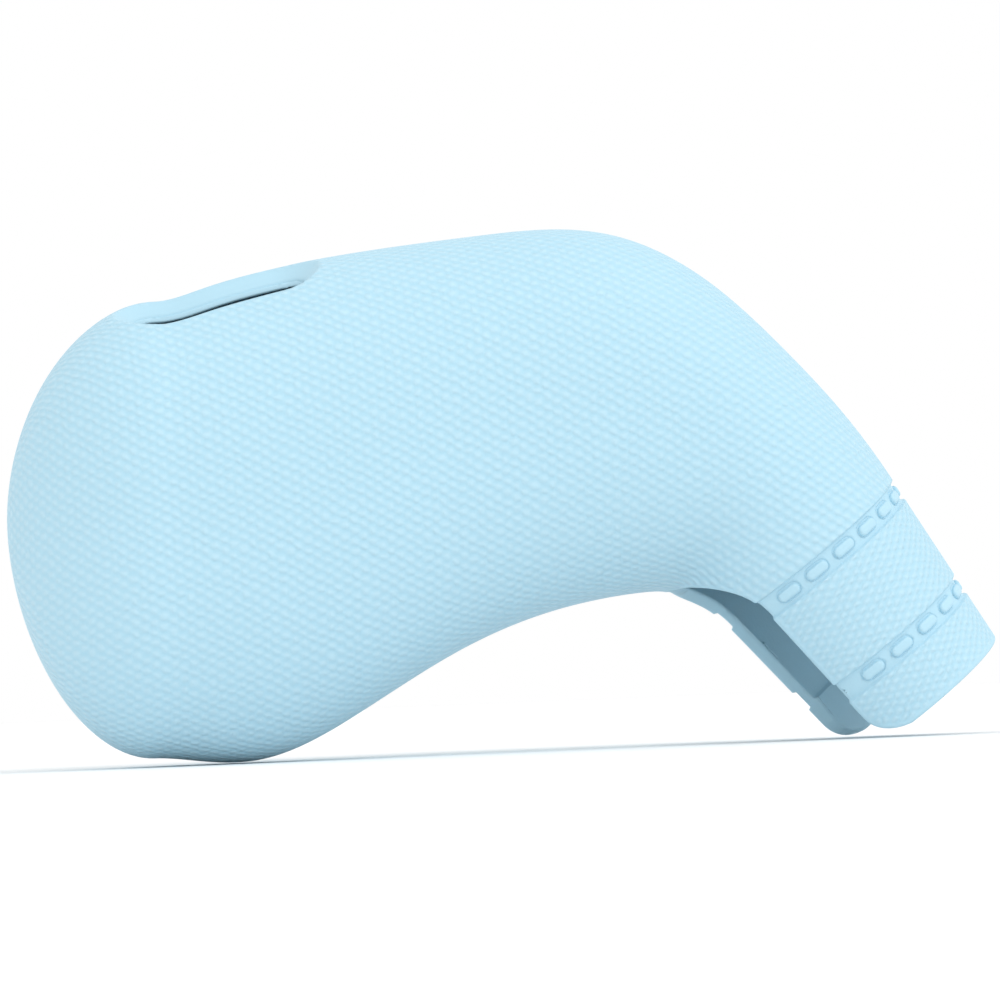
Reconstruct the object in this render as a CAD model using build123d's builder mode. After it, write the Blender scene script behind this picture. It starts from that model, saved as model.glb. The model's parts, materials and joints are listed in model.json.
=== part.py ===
"""Slip-on silicone cover for an automatic gear-shift knob, in millimetres.

The cover is one soft moulding: a closed bulb with a button slot, turning down into a
tapered neck that is split along its underside. The neck's two halves spread apart about
the unsplit strip at the upper right, called the spine here. Every region that moves or
has its own relief is a separate solid.

Frame: +Z up, +X from the bulb's blunt end towards the neck, -Y is the slot's side.
"""

import os
from math import cos, pi, radians, sin

from build123d import *

# ---------------------------------------------------------------- driving dimensions
WALL = 2.0
GAP = 0.1  # clearance round the bending edges

# Bulb sections from the blunt end to the neck: centre x, centre z, lean from vertical,
# half height, half width, squareness (2 is an ellipse, more is squarer).
BULB_SECTIONS = [
    (-42.5, 28.4, 2.0, 27.4, 17.0, 2.5),
    (-30.0, 29.6, 2.0, 29.3, 18.0, 2.4),
    (-17.5, 33.2, 2.5, 27.8, 18.5, 2.4),
    (-4.0, 37.5, 5.0, 25.1, 18.5, 2.4),
    (10.5, 39.7, 8.5, 22.7, 18.5, 2.4),
    (21.3, 37.3, 14.0, 19.2, 18.0, 2.3),
    (28.2, 32.3, 29.0, 16.1, 16.8, 2.1),
]
OVAL_POINTS = 24
NOSE_LENGTH = 17.4  # from the first section to the blunt end
NOSE_RISE = 1.9
NOSE_ROUNDNESS = 1.85  # 2 is an ellipse, less is more pointed
NOSE_STEPS = [0.998, 0.97, 0.90, 0.78, 0.60, 0.34]  # fractions of the nose's length

# Neck: a cone whose stations are measured along its axis from the first seam.
NECK_X = 36.2
NECK_Z = 21.5
NECK_LEAN = 52.8
SECTION_LEAN = 46.0  # a loft's sections must stay within 45 degrees of each other
NECK_START = -3.0
NECK_STEPS = 6
NECK_END = 22.2
NECK_RADIUS = 15.0  # at station 0
TIP_RADIUS = 12.8  # at the neck's end
BORE_RADIUS = 11.0  # the collar that grips the lever
BORE_START = 14.9

# Smooth channels round the neck, with raised imitation stitches in them.
CHANNEL_WIDTH = 2.7
CHANNEL_DEPTH = 0.5
UPPER_CHANNEL = 0.5
LOWER_CHANNEL = 14.2
STITCH_LENGTH = 3.0
STITCH_WIDTH = 1.35
STITCH_HEIGHT = 0.45
STITCH_CORNER = 0.4
UPPER_SPINE_ANGLES = [-8.6, 8.6]
LOWER_SPINE_ANGLES = [-9.0, 9.0]
UPPER_FLAP_ANGLES = [27.5, 44.5, 61.5, 78.5, 95.5, 112.5]
LOWER_FLAP_ANGLES = [27.0, 46.5, 66.0, 85.5, 105.0]

# The split: a round-cornered opening, as (station, half width) from its closed end.
SPLIT_CLOSED_END = [(-7.5, 0.0), (-7.0, 5.0), (-5.5, 8.6), (-2.5, 10.8), (2.0, 11.2)]
SPLIT_STRAIGHT_END = (18.2, 10.1)
SPLIT_FLARE_END = (22.7, 12.9)
SPLIT_REACH = 40.0
SPLIT_ANGLE = -176.5  # its middle, from the spine: a little nearer the front

# Living hinges: straight lines in the wall on both sides of the spine.
HINGE_ANGLE = 20.0
KNUCKLE_RADIUS = 1.65
BEND_START = -7.2  # where the flaps' bending lines meet the split's closed end

# Button slot in the bulb's top, tilted to follow the surface.
SLOT_CENTRE = (-34.2, -5.2, 56.2)
SLOT_SLOPE = 11.5
SLOT_TILT = 19.0
SLOT_TURN = 4.5  # about its own normal, so that it follows the bulb's ridge
SLOT_LENGTH = 21.0
SLOT_WIDTH = 6.4
SLOT_BEVEL = 2.3
SLOT_BEVEL_DEPTH = 1.2

FAR = 60.0  # longer than anything it has to cut
os.makedirs("parts", exist_ok=True)


# ---------------------------------------------------------------- frames of reference
def leaning_plane(x, z, lean):
    """A plane across the cover: its local x is world Y, its local y leans towards +X."""
    lean = radians(lean)
    return Plane(origin=(x, 0, z), x_dir=(0, 1, 0), z_dir=(cos(lean), 0, -sin(lean)))


neck_plane = leaning_plane(NECK_X, NECK_Z, NECK_LEAN)
neck_axis = neck_plane.z_dir
spine_dir = neck_plane.y_dir


def neck_radius(station):
    return NECK_RADIUS + (TIP_RADIUS - NECK_RADIUS) * station / NECK_END


def neck_point(station, radius, angle):
    """A point on the neck; the angle is measured from the spine, positive towards +Y."""
    return neck_plane.origin + neck_axis * station + radial_dir(angle) * radius


def radial_dir(angle):
    angle = radians(angle)
    return spine_dir * cos(angle) + Vector(0, 1, 0) * sin(angle)


def hinge_plane(side):
    """Local z runs down the hinge line, local x points round the neck into the flap."""
    top = neck_point(0, NECK_RADIUS - WALL / 2, side * HINGE_ANGLE)
    tip = neck_point(NECK_END, (TIP_RADIUS + BORE_RADIUS) / 2, side * HINGE_ANGLE)
    line = (tip - top).normalized()
    base = top + line * (neck_point(BEND_START, NECK_RADIUS, 180) - top).dot(line)
    round_dir = radial_dir(side * (HINGE_ANGLE + 90))
    return Plane(origin=base, x_dir=round_dir, z_dir=line)


# ---------------------------------------------------------------- shell of the whole cover
def signed_power(value, power):
    return abs(value) ** power if value >= 0 else -(abs(value) ** power)


def soft_oval_points(half_width, half_height, squareness):
    """Points round a superellipse."""
    points = []
    for step in range(OVAL_POINTS):
        angle = 2 * pi * step / OVAL_POINTS
        across = half_width * signed_power(cos(angle), 2 / squareness)
        along = half_height * signed_power(sin(angle), 2 / squareness)
        points.append((across, along))
    return points


def neck_section(station, inset):
    """Where a plane a little off square to the neck's axis cuts the neck's cone."""
    radius = neck_radius(station) - inset
    tilt = radians(NECK_LEAN - SECTION_LEAN)
    narrowing = (NECK_RADIUS - TIP_RADIUS) / NECK_END
    spine_side = radius / (cos(tilt) - narrowing * sin(tilt))
    split_side = radius / (cos(tilt) + narrowing * sin(tilt))
    offset = (spine_side - split_side) / 2
    half_height = (spine_side + split_side) / 2
    axis_point = neck_point(station, 0, 0)
    x = axis_point.X + offset * sin(radians(SECTION_LEAN))
    z = axis_point.Z + offset * cos(radians(SECTION_LEAN))
    return (x, z, SECTION_LEAN, half_height, radius, 2)


def cover_sections(inset):
    """Sections from the blunt end to past the neck's end, inset by the wall for the inside."""
    x0, z0, lean0, height0, width0, square0 = BULB_SECTIONS[0]
    sections = []
    for step in NOSE_STEPS:
        shrink = (1 - step**NOSE_ROUNDNESS) ** (1 / NOSE_ROUNDNESS)
        x = x0 - (NOSE_LENGTH - inset) * step
        z = z0 + NOSE_RISE * step**2
        sections.append((x, z, lean0, (height0 - inset) * shrink, (width0 - inset) * shrink, square0))
    for x, z, lean, height, width, square in BULB_SECTIONS:
        sections.append((x, z, lean, height - inset, width - inset, square))
    for step in range(NECK_STEPS + 1):
        station = NECK_START + (NECK_END + WALL * 2 - NECK_START) * step / NECK_STEPS
        sections.append(neck_section(station, inset))
    return sections


def cover_form(inset):
    """The solid lofted through all the sections."""
    with BuildPart() as form:
        for x, z, lean, height, width, square in cover_sections(inset):
            with BuildSketch(leaning_plane(x, z, lean)):
                with BuildLine():
                    Spline(*soft_oval_points(width, height, square), periodic=True)
                make_face()
        loft()
    return form.part


def frustum(start, start_radius, end, end_radius):
    """A piece of cone on the neck's axis, between two stations."""
    with BuildPart() as cone:
        with BuildSketch(neck_plane.offset(start)):
            Circle(start_radius)
        with BuildSketch(neck_plane.offset(end)):
            Circle(end_radius)
        loft()
    return cone.part


with BuildPart() as split_cut:
    with BuildSketch(Plane(origin=neck_plane.origin, x_dir=neck_axis, z_dir=radial_dir(SPLIT_ANGLE))):
        with BuildLine() as half_outline:
            straight_dir = Vector(*SPLIT_STRAIGHT_END) - Vector(*SPLIT_CLOSED_END[-1])
            Spline(*SPLIT_CLOSED_END, tangents=[(0, 1), straight_dir])
            Line(SPLIT_CLOSED_END[-1], SPLIT_STRAIGHT_END)
            TangentArc(SPLIT_STRAIGHT_END, SPLIT_FLARE_END, tangent=straight_dir)
            Line(SPLIT_FLARE_END, (SPLIT_FLARE_END[0], 0))
            Line((SPLIT_FLARE_END[0], 0), SPLIT_CLOSED_END[0])
        make_face()
        mirror(about=Plane.XZ)
    extrude(amount=SPLIT_REACH)


def neck_ring(station, width, base_depth, height):
    """A ring round the neck that stands on a cone set base_depth below its surface."""
    start = station - width / 2
    end = station + width / 2
    start_radius = neck_radius(start) - base_depth
    end_radius = neck_radius(end) - base_depth
    with BuildPart() as ring:
        add(frustum(start, start_radius + height, end, end_radius + height))
        add(frustum(start, start_radius, end, end_radius), mode=Mode.SUBTRACT)
    return ring.part


with BuildPart() as shell:
    add(cover_form(0))
    add(cover_form(WALL), mode=Mode.SUBTRACT)
    add(frustum(BORE_START, neck_radius(BORE_START) - WALL / 2, NECK_END, TIP_RADIUS - WALL / 2))
    add(frustum(BORE_START, BORE_RADIUS, FAR, BORE_RADIUS), mode=Mode.SUBTRACT)
    add(frustum(NECK_END, FAR / 2, FAR, FAR / 2), mode=Mode.SUBTRACT)
    add(split_cut.part, mode=Mode.SUBTRACT)
    add(neck_ring(UPPER_CHANNEL, CHANNEL_WIDTH, CHANNEL_DEPTH, WALL), mode=Mode.SUBTRACT)
    add(neck_ring(LOWER_CHANNEL, CHANNEL_WIDTH, CHANNEL_DEPTH, WALL), mode=Mode.SUBTRACT)


# ---------------------------------------------------------------- regions that divide the shell
def flap_region(side, clearance):
    """Everything that belongs to one half of the neck, from its hinge round to the split."""
    middle = Align.MAX if side < 0 else Align.MIN
    with BuildPart() as region:
        with Locations(hinge_plane(side).offset(-clearance)):
            Box(FAR, FAR * 2, FAR, align=(Align.MIN, Align.CENTER, Align.MIN))
            Cylinder(KNUCKLE_RADIUS + clearance, FAR, align=(Align.CENTER, Align.CENTER, Align.MIN))
        Box(FAR * 4, FAR, FAR * 4, align=(Align.CENTER, middle, Align.CENTER), mode=Mode.INTERSECT)
    return region.part


COLLAR_START = UPPER_CHANNEL - CHANNEL_WIDTH / 2
CUFF_START = LOWER_CHANNEL - CHANNEL_WIDTH / 2
front_region = flap_region(-1, 0)
back_region = flap_region(1, 0)
collar_region = frustum(COLLAR_START, FAR / 2, CUFF_START, FAR / 2)
cuff_region = frustum(CUFF_START, FAR / 2, FAR, FAR / 2)

with BuildPart() as fixed_shell:
    add(shell.part)
    add(flap_region(-1, GAP), mode=Mode.SUBTRACT)
    add(flap_region(1, GAP), mode=Mode.SUBTRACT)

slot_plane = Plane(origin=SLOT_CENTRE, x_dir=(1, 0, 0), z_dir=(0, 0, 1))
slot_plane = slot_plane.rotated((SLOT_TILT, -SLOT_SLOPE, SLOT_TURN))


def slot_prism(margin):
    """A prism through the bulb's upper wall, as wide as the slot plus a margin."""
    with BuildPart() as prism:
        with BuildSketch(slot_plane.offset(-SLOT_WIDTH)):
            SlotOverall(SLOT_LENGTH + 2 * margin, SLOT_WIDTH + 2 * margin)
        extrude(amount=2 * SLOT_WIDTH)
    return prism.part


# ---------------------------------------------------------------- the bulb and its slot
with BuildPart() as knob_sleeve:
    add(fixed_shell.part)
    add(collar_region, mode=Mode.SUBTRACT)
    add(cuff_region, mode=Mode.SUBTRACT)
    add(slot_prism(SLOT_BEVEL), mode=Mode.SUBTRACT)
knob_sleeve.part.label = "knob_sleeve"


def slot_countersink():
    """The bevel round the slot: it narrows from the rim's outline to the slot's."""
    with BuildPart() as countersink:
        with BuildSketch(slot_plane):
            SlotOverall(SLOT_LENGTH + 2 * SLOT_BEVEL, SLOT_WIDTH + 2 * SLOT_BEVEL)
        with BuildSketch(slot_plane.offset(-SLOT_BEVEL_DEPTH)):
            SlotOverall(SLOT_LENGTH, SLOT_WIDTH)
        loft()
        with BuildSketch(slot_plane):
            SlotOverall(SLOT_LENGTH + 2 * SLOT_BEVEL, SLOT_WIDTH + 2 * SLOT_BEVEL)
        extrude(amount=SLOT_WIDTH)
    return countersink.part


with BuildPart() as button_slot_lip:
    add(fixed_shell.part)
    add(slot_prism(SLOT_BEVEL), mode=Mode.INTERSECT)
    add(slot_prism(0), mode=Mode.SUBTRACT)
    add(slot_countersink(), mode=Mode.SUBTRACT)
button_slot_lip.part.label = "button_slot_lip"


# ---------------------------------------------------------------- the spine and the two flaps
def neck_piece(name, source, keep, remove=None):
    """The part of a shell inside every region in keep and outside the region in remove."""
    with BuildPart() as piece:
        add(source.part)
        for region in keep:
            add(region, mode=Mode.INTERSECT)
        if remove:
            add(remove, mode=Mode.SUBTRACT)
    piece.part.label = name
    return piece.part


neck_parts = [
    neck_piece("spine_collar", fixed_shell, [collar_region]),
    neck_piece("spine_cuff", fixed_shell, [cuff_region]),
    neck_piece("front_collar", shell, [front_region], cuff_region),
    neck_piece("front_cuff", shell, [front_region, cuff_region]),
    neck_piece("back_collar", shell, [back_region], cuff_region),
    neck_piece("back_cuff", shell, [back_region, cuff_region]),
]


# ---------------------------------------------------------------- imitation stitches
def stitch_row(name, station, angles):
    """Raised rounded bars that stand in a channel, one at each angle from the spine."""
    with BuildPart() as row:
        for angle in angles:
            foot = neck_point(station, neck_radius(station) - WALL, angle)
            with BuildSketch(Plane(origin=foot, x_dir=neck_axis, z_dir=radial_dir(angle))):
                RectangleRounded(STITCH_WIDTH, STITCH_LENGTH, STITCH_CORNER)
            extrude(amount=2 * WALL)
        add(neck_ring(station, CHANNEL_WIDTH, CHANNEL_DEPTH, STITCH_HEIGHT), mode=Mode.INTERSECT)
    row.part.label = name
    return row.part


def clear_of_flaps(row):
    """A row of stitches hollowed where the flaps' knuckles turn under its ends."""
    with BuildPart() as trimmed:
        add(row)
        add(flap_region(-1, GAP), mode=Mode.SUBTRACT)
        add(flap_region(1, GAP), mode=Mode.SUBTRACT)
    trimmed.part.label = row.label
    return trimmed.part


def mirrored(angles):
    return [-angle for angle in angles]


stitch_parts = [
    clear_of_flaps(stitch_row("spine_upper_stitches", UPPER_CHANNEL, UPPER_SPINE_ANGLES)),
    clear_of_flaps(stitch_row("spine_lower_stitches", LOWER_CHANNEL, LOWER_SPINE_ANGLES)),
    stitch_row("front_upper_stitches", UPPER_CHANNEL, mirrored(UPPER_FLAP_ANGLES)),
    stitch_row("front_lower_stitches", LOWER_CHANNEL, mirrored(LOWER_FLAP_ANGLES)),
    stitch_row("back_upper_stitches", UPPER_CHANNEL, UPPER_FLAP_ANGLES),
    stitch_row("back_lower_stitches", LOWER_CHANNEL, LOWER_FLAP_ANGLES),
]


# ---------------------------------------------------------------- export
for part in [knob_sleeve.part, button_slot_lip.part, *neck_parts, *stitch_parts]:
    export_step(part, f"parts/{part.label}.step")
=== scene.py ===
"""Looks of the gear-shift knob cover: one soft silicone skin, moulded by formula and cut to shape.

The skin is a grid of points over the whole cover. Its openings, its moulded edges and the
borders between pieces are cut where a field over its points crosses a level. Each piece is
a closed shell between the skin's outer and inner side.

Sizes are in millimetres, in the part's frame, until a mesh is made: Blender's are metres.
"""

import json
from math import atan2, cos, pi, radians, sin

import bmesh
import bpy
import numpy as np
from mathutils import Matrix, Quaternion, Vector


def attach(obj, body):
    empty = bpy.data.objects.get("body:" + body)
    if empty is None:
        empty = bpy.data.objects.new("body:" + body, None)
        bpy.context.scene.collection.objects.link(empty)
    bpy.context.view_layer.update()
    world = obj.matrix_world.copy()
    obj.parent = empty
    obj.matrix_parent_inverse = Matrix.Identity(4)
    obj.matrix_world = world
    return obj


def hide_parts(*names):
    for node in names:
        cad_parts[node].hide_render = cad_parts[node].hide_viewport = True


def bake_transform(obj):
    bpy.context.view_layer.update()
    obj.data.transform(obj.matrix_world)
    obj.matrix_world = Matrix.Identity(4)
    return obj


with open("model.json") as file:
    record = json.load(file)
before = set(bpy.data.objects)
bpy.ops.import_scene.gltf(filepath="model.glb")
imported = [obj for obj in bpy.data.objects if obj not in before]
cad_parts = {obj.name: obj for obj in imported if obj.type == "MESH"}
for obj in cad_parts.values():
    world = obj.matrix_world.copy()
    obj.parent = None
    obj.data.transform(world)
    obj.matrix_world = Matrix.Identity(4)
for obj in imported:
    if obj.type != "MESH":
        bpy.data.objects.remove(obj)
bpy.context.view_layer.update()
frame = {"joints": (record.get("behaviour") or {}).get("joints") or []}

# ---------------------------------------------------------------- sizes shared with the part
MM = 0.001
WALL = 2.0

# Bulb sections: centre x, centre z, lean in degrees, half height, half width, squareness.
# The second one is the skin's own: it keeps the ridge beside the slot from sagging.
BULB_SECTIONS = [
    (-42.5, 28.4, 2.0, 27.4, 17.0, 2.5),
    (-36.5, 28.8, 2.0, 28.4, 17.5, 2.45),
    (-30.0, 29.6, 2.0, 29.3, 18.0, 2.4),
    (-17.5, 33.2, 2.5, 27.8, 18.5, 2.4),
    (-4.0, 37.5, 5.0, 25.1, 18.5, 2.4),
    (10.5, 39.7, 8.5, 22.7, 18.5, 2.4),
    (21.3, 37.3, 14.0, 19.2, 18.0, 2.3),
    (28.2, 32.3, 29.0, 16.1, 16.8, 2.1),
]
NOSE_LENGTH = 17.4  # from the first section to the blunt end
NOSE_RISE = 1.9
NOSE_ROUNDNESS = 1.85  # 2 is an ellipse, less is more pointed

# Neck: a cone, with stations along its axis from the first seam.
NECK_ORIGIN = np.array([36.2, 0.0, 21.5])
NECK_LEAN = 52.8
NECK_START = -3.0
NECK_END = 22.2
NECK_RADIUS = 15.0
TIP_RADIUS = 12.8
TAPER = (NECK_RADIUS - TIP_RADIUS) / NECK_END  # how much the radius falls for each mm
BORE_RADIUS = 11.0
BORE_START = 14.9

CHANNEL_WIDTH = 2.7
CHANNEL_DEPTH = 0.5
UPPER_CHANNEL = 0.5
LOWER_CHANNEL = 14.2
STITCH_LENGTH = 3.0
STITCH_WIDTH = 1.35
STITCH_HEIGHT = 0.45
UPPER_SPINE_ANGLES = [-8.6, 8.6]
LOWER_SPINE_ANGLES = [-9.0, 9.0]
UPPER_FLAP_ANGLES = [27.5, 44.5, 61.5, 78.5, 95.5, 112.5]
LOWER_FLAP_ANGLES = [27.0, 46.5, 66.0, 85.5, 105.0]

SPLIT_CLOSED_END = [(-7.5, 0.0), (-7.0, 5.0), (-5.5, 8.6), (-2.5, 10.8), (2.0, 11.2)]
SPLIT_STRAIGHT_END = (18.2, 10.1)
SPLIT_FLARE_END = (22.7, 12.9)
SPLIT_TURN = radians(3.5)  # towards the front

SLOT_CENTRE = np.array([-34.2, -5.2, 56.2])
SLOT_SLOPE = radians(11.5)
SLOT_TILT = radians(19.0)
SLOT_TURN = radians(4.5)
SLOT_LENGTH = 21.0
SLOT_WIDTH = 6.4
SLOT_BEVEL = 2.3

# ---------------------------------------------------------------- sizes of the looks
COLUMNS = 240  # points round every row
OVAL_STEPS = 12  # points tried for each one that is kept, to space them evenly
BULB_STEP = 0.65  # between rows
NECK_STEP = 0.3
NECK_KNOTS = (NECK_START, 3.0, 9.0, 15.0, NECK_END)  # stations that the spline passes through
THROAT_LENGTH = 9.0  # how far up the bulb the neck's close rows go
NOSE_STRETCH = 1.15  # the nose's outline over a quarter circle as long as the nose
TIP_STEP = 0.5  # how far the tip falls before the first row in the flat grain
EDGE_ROWS = np.linspace(-0.36, 0.36, 9)  # extra rows at a channel's edge
EDGE_CLEARANCE = 0.468  # how far the even rows keep from a channel's edge
CHANNEL_EDGE = 0.28  # how wide the channel's edge is
RIM_ROUND = 0.45  # radius of the outer corner of every cut edge
RIM_ROUND_INSIDE = 0.35
RIM_LEVELS = [0.06, 0.18, 0.32, 0.45]
RIM_FORESHORTENING = 0.75  # the split is cut slantwise through the wall
BEVEL_DEPTH = 2.0
BEVEL_CROWN = 0.9  # 1 is a straight bevel, less swells outwards
FLANGE = 0.35  # thickness left under the bevel
BEVEL_LEVELS = [0.08, 0.2, 0.4, 0.8, 1.3, 1.8, 2.3]
GROOVE_WIDTH = 0.3  # the incised line round a stitch
GROOVE_DEPTH = 0.13
GROOVE_SHARPNESS = 1.5
GROOVE_LEVELS = [0.0, 0.08, 0.15, 0.22, 0.3]
SPLIT_FIELD_START = -20.0  # the station from where the split's field is worked out
CLOSED_END_POINTS = 30  # points on the outline's closed end and on its flare
FLARE_POINTS = 12
FAR = 99.0  # a field's value where it plays no part
LEAST_VALUE = 1e-6  # so that no point lies exactly on a cut

# Embossed grain: lines that lean both ways from the level, and the wave across them.
GRAIN_TURN = radians(1.7)
GRAIN_LEAN = radians(31.0)
GRAIN_SPACING = 1.12
GRAIN_WEIGHTS = [0.46, 0.34, 0.20]  # of the three families of lines
NECK_GRAIN_SCALE = (1.035, 1.277)  # closer together on the neck, above all along it
MEAN_NECK_RADIUS = 13.9
RIM_PLAIN = 0.3  # the plain margin at a cut edge, and how wide the grain's fading is there
RIM_FADE = 0.6
SLOT_FADE = 0.4
CHANNEL_FADE = 1.5  # 1 fades over the whole of a channel's edge, more fades sooner

# ---------------------------------------------------------------- frames of reference
NECK_AXIS = np.array([cos(radians(NECK_LEAN)), 0.0, -sin(radians(NECK_LEAN))])
SPINE_DIR = np.array([sin(radians(NECK_LEAN)), 0.0, cos(radians(NECK_LEAN))])
SIDE_DIR = np.array([0.0, 1.0, 0.0])
# The slot lies in a plane that climbs along X and tilts to the front, and is turned in that plane.
UPHILL = np.array([cos(SLOT_SLOPE), -sin(SLOT_TILT) * sin(SLOT_SLOPE), cos(SLOT_TILT) * sin(SLOT_SLOPE)])
ASIDE = np.array([0.0, cos(SLOT_TILT), sin(SLOT_TILT)])
SLOT_ALONG = UPHILL * cos(SLOT_TURN) + ASIDE * sin(SLOT_TURN)
SLOT_ACROSS = ASIDE * cos(SLOT_TURN) - UPHILL * sin(SLOT_TURN)
SLOT_UP = np.cross(SLOT_ALONG, SLOT_ACROSS)


def neck_radius(station):
    """The radius of the neck's outside at a station."""
    return NECK_RADIUS - TAPER * station


def neck_coordinates(points):
    """Station along the neck's axis, and the angle round it from the spine, of each point."""
    offset = points - NECK_ORIGIN
    return offset @ NECK_AXIS, np.arctan2(points[:, 1], offset @ SPINE_DIR)


def neck_point(station, angle, radius):
    """The point or points at a station, an angle in radians from the spine, and a radius."""
    station, angle, radius = np.broadcast_arrays(station, angle, radius)
    radial = np.cos(angle)[..., None] * SPINE_DIR + np.sin(angle)[..., None] * SIDE_DIR
    return NECK_ORIGIN + station[..., None] * NECK_AXIS + radius[..., None] * radial


def smooth_step(value):
    """Eases from 0 to 1 as the value does, and stays level beyond them."""
    value = np.clip(value, 0.0, 1.0)
    return value * value * (3.0 - 2.0 * value)


def spline(knots, values, start_slope, end_slope, places):
    """A cubic spline through values at the knots, with given slopes at its two ends."""
    step = np.diff(knots)
    slope = np.diff(values, axis=0) / step[:, None]
    count = len(knots)
    system = np.zeros((count, count))
    system[0, :2] = 2 * step[0], step[0]
    system[-1, -2:] = step[-1], 2 * step[-1]
    for i in range(1, count - 1):
        system[i, i - 1 : i + 2] = step[i - 1], 2 * (step[i - 1] + step[i]), step[i]
    bend = np.linalg.solve(system, 6 * np.diff([start_slope, *slope, end_slope], axis=0))
    i = np.clip(np.searchsorted(knots, places, side="right") - 1, 0, count - 2)
    before = (places - knots[i])[:, None]
    after = (knots[i + 1] - places)[:, None]
    gap = step[i][:, None]
    curve = (bend[i] * after**3 + bend[i + 1] * before**3) / (6 * gap)
    line_before = (values[i] / gap - bend[i] * gap / 6) * after
    line_after = (values[i + 1] / gap - bend[i + 1] * gap / 6) * before
    return curve + line_before + line_after


def path_lengths(points):
    """How far along a chain of points each one lies."""
    return np.concatenate([[0.0], np.cumsum(np.linalg.norm(np.diff(points, axis=0), axis=1))])


# ---------------------------------------------------------------- rows of the skin
def neck_rows():
    """Stations of the neck's rows: even ones, and close ones at the channels' edges."""
    half = CHANNEL_WIDTH / 2
    edges = [c + side * half for c in (UPPER_CHANNEL, LOWER_CHANNEL) for side in (-1, 1)]
    even = np.linspace(NECK_START, NECK_END, round((NECK_END - NECK_START) / NECK_STEP) + 1)
    even = [s for s in even if min(abs(s - e) for e in edges) > EDGE_CLEARANCE]
    return np.sort(np.concatenate([even] + [e + EDGE_ROWS for e in edges]))


def nose_rows():
    """Sections of the round blunt end, from its tip to the first section of the bulb."""
    x, z, lean, height, width, squareness = BULB_SECTIONS[0]
    rows = []
    count = round(NOSE_LENGTH * pi / 2 * NOSE_STRETCH / BULB_STEP)
    for turn in np.linspace(pi / 2, 0, count)[1:-1]:
        reach = sin(turn)
        shrink = (1 - reach**NOSE_ROUNDNESS) ** (1 / NOSE_ROUNDNESS)
        centre = (x - NOSE_LENGTH * reach, z + NOSE_RISE * reach**2)
        rows.append((*centre, lean, height * shrink, width * shrink, squareness))
    return np.array(rows)


def body_rows():
    """Sections from the bulb's first one to the neck's end, by a spline through the known ones."""
    knots = [list(section) for section in BULB_SECTIONS]
    for station in NECK_KNOTS:
        x, _, z = NECK_ORIGIN + NECK_AXIS * station
        radius = neck_radius(station)
        knots.append([x, z, NECK_LEAN, radius, radius, 2.0])
    knots = np.array(knots)
    reach = path_lengths(knots[:, :2])
    neck_reach = reach[len(BULB_SECTIONS)]
    throat_reach = neck_reach - THROAT_LENGTH
    bulb_places = np.linspace(0, throat_reach, round(throat_reach / BULB_STEP))
    throat_places = np.linspace(throat_reach, neck_reach, round(THROAT_LENGTH / NECK_STEP))[1:-1]
    places = np.concatenate([bulb_places, throat_places, neck_reach + neck_rows() - NECK_START])
    start_slope = np.array([1, 0, 0, 0, 0, 0])  # level, as the nose ends
    end_slope = np.array([NECK_AXIS[0], NECK_AXIS[2], 0, -TAPER, -TAPER, 0])  # along the neck's cone
    return spline(reach, knots, start_slope, end_slope, places)


def oval(half_width, half_height, squareness):
    """Evenly spaced points round a superellipse, from its top towards +Y, and its perimeter."""
    turn = np.linspace(0, 2 * pi, OVAL_STEPS * COLUMNS + 1)
    power = 2 / squareness
    across = half_width * np.sign(np.sin(turn)) * np.abs(np.sin(turn)) ** power
    along = half_height * np.sign(np.cos(turn)) * np.abs(np.cos(turn)) ** power
    length = path_lengths(np.column_stack([across, along]))
    places = np.linspace(0, length[-1], COLUMNS + 1)[:-1]
    return np.interp(places, length, across), np.interp(places, length, along), length[-1]


def flat_grain(centre, lean, perimeter):
    """Where each point of a row falls when the skin is laid flat, with both sides alike."""
    share = np.arange(COLUMNS) / COLUMNS
    climb = perimeter * (0.25 - np.minimum(share, 1 - share))
    a = centre[0] + climb * sin(lean)
    b = centre[1] + climb * cos(lean)
    return np.column_stack(
        [a * cos(GRAIN_TURN) + b * sin(GRAIN_TURN), b * cos(GRAIN_TURN) - a * sin(GRAIN_TURN)]
    )


def skin_grid():
    """The points of the whole skin, where each falls in the flat grain, and the faces."""
    nose = nose_rows()
    rows = np.concatenate([nose, body_rows()])
    first = BULB_SECTIONS[0]
    tip = np.array([first[0] - NOSE_LENGTH, 0.0, first[1] + NOSE_RISE])
    meridian = np.column_stack([rows[: len(nose) + 1, 0], rows[: len(nose) + 1, 4]])
    unrolled = path_lengths(meridian)
    unrolled = first[0] - (unrolled[-1] - unrolled)
    points = [tip[None]]
    grain = [np.array([[unrolled[0] - TIP_STEP, tip[2]]])]
    for number, (x, z, lean, height, width, squareness) in enumerate(rows):
        lean = radians(lean)
        across, along, perimeter = oval(width, height, squareness)
        points.append(np.column_stack([x + along * sin(lean), across, z + along * cos(lean)]))
        flat_x = unrolled[number] if number < len(nose) else x
        grain.append(flat_grain((flat_x, z), lean, perimeter))
    faces = []
    for column in range(COLUMNS):
        faces.append((0, 1 + column, 1 + (column + 1) % COLUMNS))
    for row in range(len(rows) - 1):
        start = 1 + row * COLUMNS
        for column in range(COLUMNS):
            after = (column + 1) % COLUMNS
            corner = start + COLUMNS
            faces.append((start + column, corner + column, corner + after, start + after))
    return np.concatenate(points), np.concatenate(grain), faces


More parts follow.
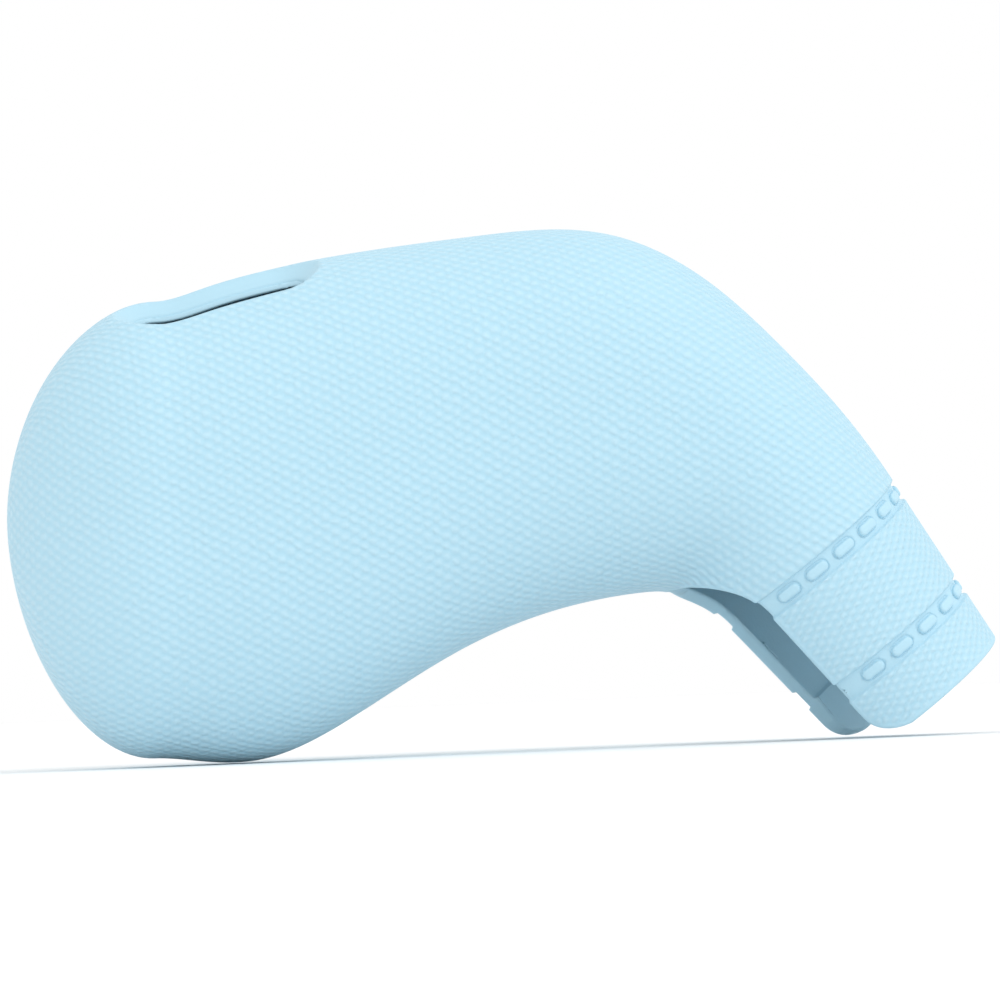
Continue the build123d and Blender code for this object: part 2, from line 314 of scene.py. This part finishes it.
# ---------------------------------------------------------------- fields over the skin
def split_outline():
    """Half of the split's outline, as (station, half width), from its closed end outwards."""
    corner = np.array(SPLIT_CLOSED_END)
    start = np.array(SPLIT_STRAIGHT_END)
    forward = (start - corner[-1]) / np.linalg.norm(start - corner[-1])
    reach = path_lengths(corner)
    places = np.linspace(0, reach[-1], CLOSED_END_POINTS)
    closed = spline(reach, corner, np.array([0, 1]), forward, places)
    chord = np.array(SPLIT_FLARE_END) - start
    outward = chord - forward * (chord @ forward)
    outward /= np.linalg.norm(outward)
    radius = chord @ chord / (2 * chord @ outward)
    arc = 2 * atan2(chord @ outward, chord @ forward)
    turn = np.linspace(0, arc, FLARE_POINTS)[:, None]
    flare = start + radius * (forward * np.sin(turn) + outward * (1 - np.cos(turn)))
    return np.concatenate([closed, flare])


SPLIT_OUTLINE = split_outline()


def distance_to_line(points, line):
    """From each flat point to the nearest stretch of an open line."""
    run = np.diff(line, axis=0)
    offset = points[:, None] - line[:-1]
    share = np.clip((offset * run).sum(2) / (run**2).sum(1), 0, 1)
    return np.linalg.norm(offset - share[..., None] * run, axis=2).min(1)


def split_field(points):
    """Distance from the split's edge, less than nothing inside the opening."""
    offset = points - NECK_ORIGIN
    station = offset @ NECK_AXIS
    field = np.full(len(points), FAR)
    towards_spine = points[:, 1] * sin(SPLIT_TURN) + offset @ SPINE_DIR * cos(SPLIT_TURN)
    sideways = points[:, 1] * cos(SPLIT_TURN) - offset @ SPINE_DIR * sin(SPLIT_TURN)
    near = (station > SPLIT_FIELD_START) & (towards_spine < 0)
    flat = np.column_stack([station[near], np.abs(sideways[near])])
    distance = distance_to_line(flat, SPLIT_OUTLINE)
    inside = flat[:, 1] < np.interp(flat[:, 0], *SPLIT_OUTLINE.T, left=0.0)
    field[near] = np.where(inside, -distance, distance)
    return field


def rim_field(points):
    """Distance from the nearest cut edge: the split's or the neck's end."""
    station = (points - NECK_ORIGIN) @ NECK_AXIS
    return np.minimum(split_field(points) / RIM_FORESHORTENING, NECK_END - station)


def slot_field(points):
    """Distance from the button slot's edge, less than nothing inside it."""
    offset = points - SLOT_CENTRE
    straight = (SLOT_LENGTH - SLOT_WIDTH) / 2
    beyond = np.maximum(np.abs(offset @ SLOT_ALONG) - straight, 0)
    field = np.hypot(beyond, offset @ SLOT_ACROSS) - SLOT_WIDTH / 2
    return np.where(np.abs(offset @ SLOT_UP) < SLOT_WIDTH, field, FAR)


def stitch_places():
    """Station and angle in radians of every stitch."""
    upper = UPPER_SPINE_ANGLES + UPPER_FLAP_ANGLES + [-a for a in UPPER_FLAP_ANGLES]
    lower = LOWER_SPINE_ANGLES + LOWER_FLAP_ANGLES + [-a for a in LOWER_FLAP_ANGLES]
    return [(UPPER_CHANNEL, radians(a)) for a in upper] + [(LOWER_CHANNEL, radians(a)) for a in lower]


def stitch_field(points):
    """Distance from the nearest stitch's outline."""
    station, angle = neck_coordinates(points)
    radius = neck_radius(station)
    straight = (STITCH_LENGTH - STITCH_WIDTH) / 2
    field = np.full(len(points), FAR)
    for centre, middle in stitch_places():
        beyond = np.maximum(np.abs(angle - middle) * radius - straight, 0)
        field = np.minimum(field, np.hypot(beyond, station - centre) - STITCH_WIDTH / 2)
    return np.where(station > NECK_START, field, FAR)


def flap_field(points):
    """More than nothing on the two halves of the neck that spread, from their hinge lines on."""
    joint = next(j for j in frame["joints"] if j["child"] == "back_flap")
    base = np.array(joint["pos_m"]) / MM
    down_hinge = np.array(joint["axis"]) * -np.sign(joint["axis"][2])
    both_sides = points * np.array([1, 0, 1]) + np.abs(points[:, 1:2]) * SIDE_DIR
    offset = both_sides - base
    outward = base - NECK_ORIGIN
    outward = outward - NECK_AXIS * (outward @ NECK_AXIS)
    away_from_spine = np.cross(NECK_AXIS, outward / np.linalg.norm(outward))
    away_from_spine = away_from_spine * np.sign(away_from_spine[1])
    return np.minimum(offset @ down_hinge, offset @ away_from_spine)


def neck_start_field(points):
    """More than nothing past the upper channel's upper edge."""
    return (points - NECK_ORIGIN) @ NECK_AXIS - (UPPER_CHANNEL - CHANNEL_WIDTH / 2)


# ---------------------------------------------------------------- cutting the skin
def cut(mesh, field, level=0.0):
    """Adds edges to a bmesh along the line where the field crosses the level."""
    mesh.verts.index_update()
    value = field(np.array([v.co for v in mesh.verts])) - level
    value[np.abs(value) < LEAST_VALUE] = LEAST_VALUE
    edges = list(mesh.edges)
    ends = np.array([(e.verts[0].index, e.verts[1].index) for e in edges])
    start, end = value[ends[:, 0]], value[ends[:, 1]]
    added = []
    for number in np.nonzero(start * end < 0)[0]:
        share = start[number] / (start[number] - end[number])
        edge = edges[number]
        added.append(bmesh.utils.edge_split(edge, edge.verts[0], float(share))[1])
    bmesh.ops.connect_verts(mesh, verts=added)


def cut_skin():
    """The skin with its edges cut in and its openings cut out: points, normals, grain, faces."""
    points, grain, faces = skin_grid()
    mesh = bmesh.new()
    layer = mesh.verts.layers.float_vector.new("grain")
    for point, (a, b) in zip(points, grain):
        mesh.verts.new(point)[layer] = (a, b, 0)
    mesh.verts.ensure_lookup_table()
    for face in faces:
        mesh.faces.new([mesh.verts[i] for i in face])
    mesh.normal_update()
    for level in BEVEL_LEVELS:
        cut(mesh, slot_field, level)
    cut(mesh, slot_field)
    for level in GROOVE_LEVELS:
        cut(mesh, stitch_field, level)
    for level in RIM_LEVELS:
        cut(mesh, rim_field, level)
    cut(mesh, split_field)
    cut(mesh, flap_field)
    mesh.normal_update()
    mesh.verts.index_update()
    points = np.array([v.co for v in mesh.verts])
    normals = np.array([v.normal for v in mesh.verts])
    grain = np.array([v[layer] for v in mesh.verts])
    faces = [[v.index for v in face.verts] for face in mesh.faces]
    mesh.free()
    centres = np.array([points[face].mean(0) for face in faces])
    kept = (split_field(centres) > 0) & (slot_field(centres) > 0)
    return points, normals, grain, [f for f, keep in zip(faces, kept) if keep], centres[kept]


# ---------------------------------------------------------------- moulding the skin's two sides
def corner_drop(distance, radius):
    """How far a rounded corner falls below its flat face, at a distance from its edge."""
    near = np.clip(radius - distance, 0, radius)
    return radius - np.sqrt(radius**2 - near**2)


def channel_share(station):
    """1 on a channel's floor, 0 outside, and in between on its edges."""
    share = np.zeros(len(station))
    for centre in (UPPER_CHANNEL, LOWER_CHANNEL):
        past_edge = CHANNEL_WIDTH / 2 - np.abs(station - centre)
        share += smooth_step(past_edge / CHANNEL_EDGE + 0.5)
    return share


def mould(points, normals, grain):
    """The outer and the inner points, and the grain's coordinates and strength on the outside."""
    station, angle = neck_coordinates(points)
    rim = rim_field(points)
    slot = slot_field(points)
    stitch = stitch_field(points)
    on_neck = station > NECK_START
    channel = np.where(on_neck, channel_share(station), 0)

    drop = CHANNEL_DEPTH * channel
    groove = np.clip(stitch / GROOVE_WIDTH, 0, 1)
    drop += np.where(channel > 0, GROOVE_DEPTH * np.sin(pi * groove) ** GROOVE_SHARPNESS, 0)
    drop += corner_drop(rim, RIM_ROUND)
    bevel = BEVEL_DEPTH * np.clip(1 - slot / SLOT_BEVEL, 0, 1) ** BEVEL_CROWN
    bevel += corner_drop(slot, RIM_ROUND_INSIDE)
    outer = points - normals * drop[:, None] - SLOT_UP * bevel[:, None]

    collar = smooth_step((station - BORE_START) / NECK_STEP)
    thickness = WALL + np.where(on_neck, collar * (neck_radius(station) - BORE_RADIUS - WALL), 0)
    thickness -= corner_drop(rim, RIM_ROUND_INSIDE)
    thickness = np.maximum(thickness, bevel + FLANGE)
    inner = points - normals * thickness[:, None]

    neck_grain = np.column_stack([angle * MEAN_NECK_RADIUS, station]) * NECK_GRAIN_SCALE
    past_seam = on_neck & (station > UPPER_CHANNEL)
    grain[past_seam, :2] = neck_grain[past_seam]
    strength = 1 - smooth_step(channel * CHANNEL_FADE)
    strength *= smooth_step((rim - RIM_PLAIN) / RIM_FADE)
    strength *= smooth_step((slot - SLOT_BEVEL) / SLOT_FADE + 0.5)
    grain[:, 2] = strength
    return outer, inner, grain


def closed_shell(faces, count):
    """Faces of a closed wall: the outer faces, the same inside out, and walls at their borders."""
    borders = {}
    for face in faces:
        for a, b in zip(face, face[1:] + face[:1]):
            if (b, a) in borders:
                del borders[b, a]
            else:
                borders[a, b] = True
    inside = [[i + count for i in reversed(face)] for face in faces]
    walls = [[b, a, a + count, b + count] for a, b in borders]
    return faces + inside + walls


def make_mesh(name, points, faces, normals=None, grain=None):
    """An object from points in millimetres, smooth, with given normals and grain coordinates."""
    mesh = bpy.data.meshes.new(name)
    mesh.from_pydata((points * MM).tolist(), [], faces)
    mesh.polygons.foreach_set("use_smooth", [True] * len(faces))
    if grain is not None:
        attribute = mesh.attributes.new("grain", "FLOAT_VECTOR", "POINT")
        attribute.data.foreach_set("vector", grain.astype(np.float32).ravel())
    mesh.update()
    if normals is not None:
        mesh.normals_split_custom_set_from_vertices(normals.tolist())
    thing = bpy.data.objects.new(name, mesh)
    bpy.context.scene.collection.objects.link(thing)
    return thing


def skin_pieces():
    """The skin's pieces by name, each a closed shell with normals that match its neighbours'."""
    points, normals, grain, faces, centres = cut_skin()
    outer, inner, grain = mould(points, normals, grain)
    count = len(points)
    sides = np.concatenate([outer, inner])
    grain = np.concatenate([grain, grain * np.array([1, 1, 0])])
    whole = bpy.data.meshes.new("whole")
    whole.from_pydata(sides.tolist(), [], closed_shell(faces, count))
    whole.update()
    shading = np.zeros(2 * count * 3, np.float32)
    whole.vertex_normals.foreach_get("vector", shading)
    shading = shading.reshape(-1, 3)
    bpy.data.meshes.remove(whole)

    flap = flap_field(centres) > 0
    past_start = neck_start_field(centres) > 0
    lip = slot_field(centres) < SLOT_BEVEL
    regions = {
        "slot_lip_skin": lip,
        "front_neck_skin": flap & (centres[:, 1] < 0),
        "back_neck_skin": flap & (centres[:, 1] > 0),
        "spine_skin": ~flap & past_start,
        "bulb_skin": ~lip & ~flap & ~past_start,
    }
    pieces = {}
    for name, region in regions.items():
        chosen = [face for face, inside in zip(faces, region) if inside]
        shell = closed_shell(chosen, count)
        used = np.unique(np.concatenate([np.array(face) for face in shell]))
        place = np.zeros(2 * count, int)
        place[used] = np.arange(len(used))
        shell = [place[face].tolist() for face in shell]
        pieces[name] = make_mesh(name, sides[used], shell, shading[used], grain[used])
    return pieces


# ---------------------------------------------------------------- stitches
STITCH_PROFILE = [  # inset from the outline, height over the channel's floor
    (0.0, -0.3),
    (0.0, 0.12),
    (0.04, 0.25),
    (0.12, 0.36),
    (0.25, 0.43),
    (0.45, STITCH_HEIGHT),
]
STITCH_POINTS = 32


def stitch_ring(station, middle, inset, height):
    """One level of a stitch: its outline drawn in by the inset, laid on the neck's cone."""
    half = STITCH_WIDTH / 2
    straight = (STITCH_LENGTH - STITCH_WIDTH) / 2
    turn = 2 * pi * (np.arange(STITCH_POINTS) + 0.5) / STITCH_POINTS
    along = np.sign(np.cos(turn)) * straight + (half - inset) * np.cos(turn)
    across = (half - inset) * np.sin(turn)
    floor = neck_radius(station + across) - CHANNEL_DEPTH
    return neck_point(station + across, middle + along / floor, floor + height)


def stitch_row(name, station, angles):
    """Rounded bars that stand in a channel, one at each angle from the spine."""
    points, faces = [], []
    for angle in angles:
        first = len(points) * STITCH_POINTS
        for inset, height in STITCH_PROFILE:
            points.append(stitch_ring(station, radians(angle), inset, height))
        top = first + (len(STITCH_PROFILE) - 1) * STITCH_POINTS
        faces.append(list(range(first, first + STITCH_POINTS)))
        faces.append(list(reversed(range(top, top + STITCH_POINTS))))
        for start in range(first, top, STITCH_POINTS):
            up = start + STITCH_POINTS
            for i in range(STITCH_POINTS):
                after = (i + 1) % STITCH_POINTS
                faces.append([start + i, up + i, up + after, start + after])
    return make_mesh(name, np.concatenate(points), faces)


# ---------------------------------------------------------------- materials
def node(tree, kind, **inputs):
    """A new node, with values or other nodes' outputs given to its inputs by name or number."""
    made = tree.nodes.new(kind)
    for name, value in inputs.items():
        socket = made.inputs[int(name[1:]) if name[1:].isdigit() else name.replace("_", " ")]
        if isinstance(value, bpy.types.NodeSocket):
            tree.links.new(value, socket)
        else:
            socket.default_value = value
    return made


def maths(tree, operation, a, b=0.0, c=0.0):
    """The result of a sum on numbers or outputs."""
    made = node(tree, "ShaderNodeMath", _0=a, _1=b, _2=c)
    made.operation = operation
    return made.outputs[0]


def vector_maths(tree, operation, a, b):
    """The same on vectors."""
    made = node(tree, "ShaderNodeVectorMath", _0=a, _1=b)
    made.operation = operation
    return made.outputs["Value" if operation == "DOT_PRODUCT" else "Vector"]


def noise(tree, vector, scale, detail=2.0):
    """A noise texture; its outputs are a height and a colour."""
    return node(tree, "ShaderNodeTexNoise", Vector=vector, Scale=scale, Detail=detail)


def blend_colour(tree, share, first, second):
    """The first colour where the share is 0, the second where it is 1."""
    made = tree.nodes.new("ShaderNodeMix")
    made.data_type = "RGBA"
    for socket, value in ((made.inputs[0], share), (made.inputs[6], first), (made.inputs[7], second)):
        if isinstance(value, bpy.types.NodeSocket):
            tree.links.new(value, socket)
        else:
            socket.default_value = value
    return made.outputs[2]


def new_material(name):
    """A material with only a shader, and its node tree."""
    material = bpy.data.materials.new(name)
    material.use_nodes = True
    tree = material.node_tree
    tree.nodes.clear()
    shader = tree.nodes.new("ShaderNodeBsdfPrincipled")
    output = tree.nodes.new("ShaderNodeOutputMaterial")
    tree.links.new(shader.outputs[0], output.inputs[0])
    return material, tree, shader


def grain_height(tree, flat):
    """Rows of small scales, from -1 in the lines between them to 1 on their tops."""
    turn = 2 * pi / GRAIN_SPACING
    falling = np.array([sin(GRAIN_LEAN), cos(GRAIN_LEAN)]) * turn
    rising = np.array([-sin(GRAIN_LEAN), cos(GRAIN_LEAN)]) * turn
    height = 0.0
    for weight, wave in zip(GRAIN_WEIGHTS, (falling, rising, falling - rising)):
        place = vector_maths(tree, "DOT_PRODUCT", flat, (*wave, 0.0))
        height = maths(tree, "MULTIPLY_ADD", maths(tree, "COSINE", place), weight, height)
    return height


def silicone(name, colour, line_shade_colour, relief, roughness):
    """Matt moulded silicone; where the mesh has grain, it is embossed with small scales, with painted
    shade in the lines between them.
    """
    material, tree, shader = new_material(name)
    attribute = tree.nodes.new("ShaderNodeAttribute")
    attribute.attribute_name = "grain"
    parts = node(tree, "ShaderNodeSeparateXYZ", Vector=attribute.outputs["Vector"])
    flat = node(tree, "ShaderNodeCombineXYZ", X=parts.outputs[0], Y=parts.outputs[1]).outputs[0]
    strength = parts.outputs[2]
    place = node(tree, "ShaderNodeTexCoord").outputs["Object"]

    # The lines wander a little, and a fine speckle lies over everything.
    wander = vector_maths(tree, "SUBTRACT", noise(tree, flat, 0.45).outputs["Color"], (0.5, 0.5, 0.5))
    wander = vector_maths(tree, "MULTIPLY", wander, (0.8, 0.8, 0.0))
    height = grain_height(tree, vector_maths(tree, "ADD", flat, wander))
    height = maths(tree, "MULTIPLY", height, strength)
    speckle = maths(tree, "SUBTRACT", noise(tree, place, 2600.0, 3.0).outputs[0], 0.5)
    height = maths(tree, "MULTIPLY_ADD", speckle, 0.35, height)
    bump = node(tree, "ShaderNodeBump", Strength=1.0, Distance=relief, Height=height)
    tree.links.new(bump.outputs[0], shader.inputs["Normal"])

    # The bottoms of the lines are darker, with painted shade from the line colour, and rougher; the
    # scales' tops are left lighter. Clouds and patches vary the rest.
    depth = maths(tree, "MULTIPLY_ADD", height, -0.5, 0.25)
    depth = node(tree, "ShaderNodeClamp", Value=depth).outputs[0]
    cloud = noise(tree, place, 55.0, 4.0).outputs[0]
    tone = blend_colour(tree, cloud, [c * 0.975 for c in colour[:3]] + [1], colour)
    # Painted shade: the line colour is mixed in by how deep a point lies in the grain's lines.
    tree.links.new(blend_colour(tree, depth, tone, line_shade_colour), shader.inputs["Base Color"])
    patch = noise(tree, place, 140.0, 3.0).outputs[0]
    gloss = maths(tree, "MULTIPLY_ADD", patch, 0.16, roughness - 0.08)
    tree.links.new(maths(tree, "MULTIPLY_ADD", depth, 0.12, gloss), shader.inputs["Roughness"])
    shader.inputs["Specular IOR Level"].default_value = 0.35
    return material


def floor_material():
    """Plain matt white."""
    material, _, shader = new_material("floor_white")
    shader.inputs["Base Color"].default_value = (0.92, 0.92, 0.92, 1)
    shader.inputs["Roughness"].default_value = 0.8
    return material


def finish_piece(thing, material, replaced):
    """Gives a piece its material, and hides the part's nodes that it stands for."""
    thing.data.materials.append(material)
    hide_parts(*replaced)


LIGHT_BLUE = (0.48, 0.71, 0.825, 1)
# The darker blue mixed into the grain's lines as painted shade.
LINE_SHADE_BLUE = (0.35, 0.61, 0.745, 1)
grained = silicone("grained_silicone", LIGHT_BLUE, LINE_SHADE_BLUE, relief=0.09 * MM, roughness=0.5)
smooth = silicone("smooth_silicone", LIGHT_BLUE, LINE_SHADE_BLUE, relief=0.02 * MM, roughness=0.42)

skins = skin_pieces()
finish_piece(skins["bulb_skin"], grained, ["knob_sleeve"])
finish_piece(skins["slot_lip_skin"], smooth, ["button_slot_lip"])
finish_piece(skins["spine_skin"], grained, ["spine_collar", "spine_cuff"])
for name in ("bulb_skin", "slot_lip_skin", "spine_skin"):
    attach(skins[name], "sleeve")

rows = [("spine", 0, UPPER_SPINE_ANGLES, LOWER_SPINE_ANGLES)]
for side_name, side in (("front", -1), ("back", 1)):
    upper = [side * angle for angle in UPPER_FLAP_ANGLES]
    lower = [side * angle for angle in LOWER_FLAP_ANGLES]
    rows.append((side_name, side, upper, lower))
    skin = skins[f"{side_name}_neck_skin"]
    finish_piece(skin, grained, [f"{side_name}_collar", f"{side_name}_cuff"])
    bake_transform(skin)

for side_name, side, upper, lower in rows:
    for level, station, angles in (("upper", UPPER_CHANNEL, upper), ("lower", LOWER_CHANNEL, lower)):
        node_name = f"{side_name}_{level}_stitches"
        row = stitch_row(f"{side_name}_{level}_stitch_bars", station, angles)
        finish_piece(row, smooth, [node_name])
        if side:
            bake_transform(row)
        else:
            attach(row, "sleeve")

# ---------------------------------------------------------------- floor, light and camera
FLOOR_SIZE = 6.0
bpy.ops.mesh.primitive_plane_add(size=FLOOR_SIZE)
floor = bpy.context.object
floor.name = "floor"
floor.data.materials.append(floor_material())

world = bpy.data.worlds.new("studio")
bpy.context.scene.world = world
world.use_nodes = True
background = world.node_tree.nodes["Background"]
background.inputs["Color"].default_value = (1, 1, 1, 1)
background.inputs["Strength"].default_value = 1.0
bpy.context.scene.view_settings.view_transform = "Standard"


def direction_back(azimuth, elevation):
    """From the object towards a viewer; azimuth 0 looks along +Y, elevation is over the horizon."""
    a, e = radians(azimuth), radians(elevation)
    return Vector((sin(a) * cos(e), -cos(a) * cos(e), sin(e)))


def soft_sun(name, azimuth, elevation, spread, strength):
    """Light from one side, softened by the width in degrees that it comes from."""
    light = bpy.data.lights.new(name, "SUN")
    light.angle = radians(spread)
    light.energy = strength
    lamp = bpy.data.objects.new(name, light)
    bpy.context.scene.collection.objects.link(lamp)
    lamp.rotation_euler = direction_back(azimuth, elevation).to_track_quat("Z", "Y").to_euler()


soft_sun("key", 50, 50, 45, 0.75)
soft_sun("fill", -10, 5, 90, 0.35)

TARGET = Vector((-0.0004, 0.0, 0.0305))
CAMERA_AZIMUTH = -8.0
CAMERA_ELEVATION = -2.0
CAMERA_ROLL = 2.3
VIEW_WIDTH = 0.12096
LENS = 200.0
camera = bpy.data.cameras.new("camera")
camera.lens = LENS
camera.sensor_width = 36.0
viewer = bpy.data.objects.new("camera", camera)
bpy.context.scene.collection.objects.link(viewer)
back = direction_back(CAMERA_AZIMUTH, CAMERA_ELEVATION)
viewer.location = TARGET + back * (VIEW_WIDTH * LENS / camera.sensor_width)
viewer.rotation_mode = "QUATERNION"
level = back.to_track_quat("Z", "Y")
viewer.rotation_quaternion = level @ Quaternion((0, 0, 1), radians(-CAMERA_ROLL))
bpy.context.scene.camera = viewer
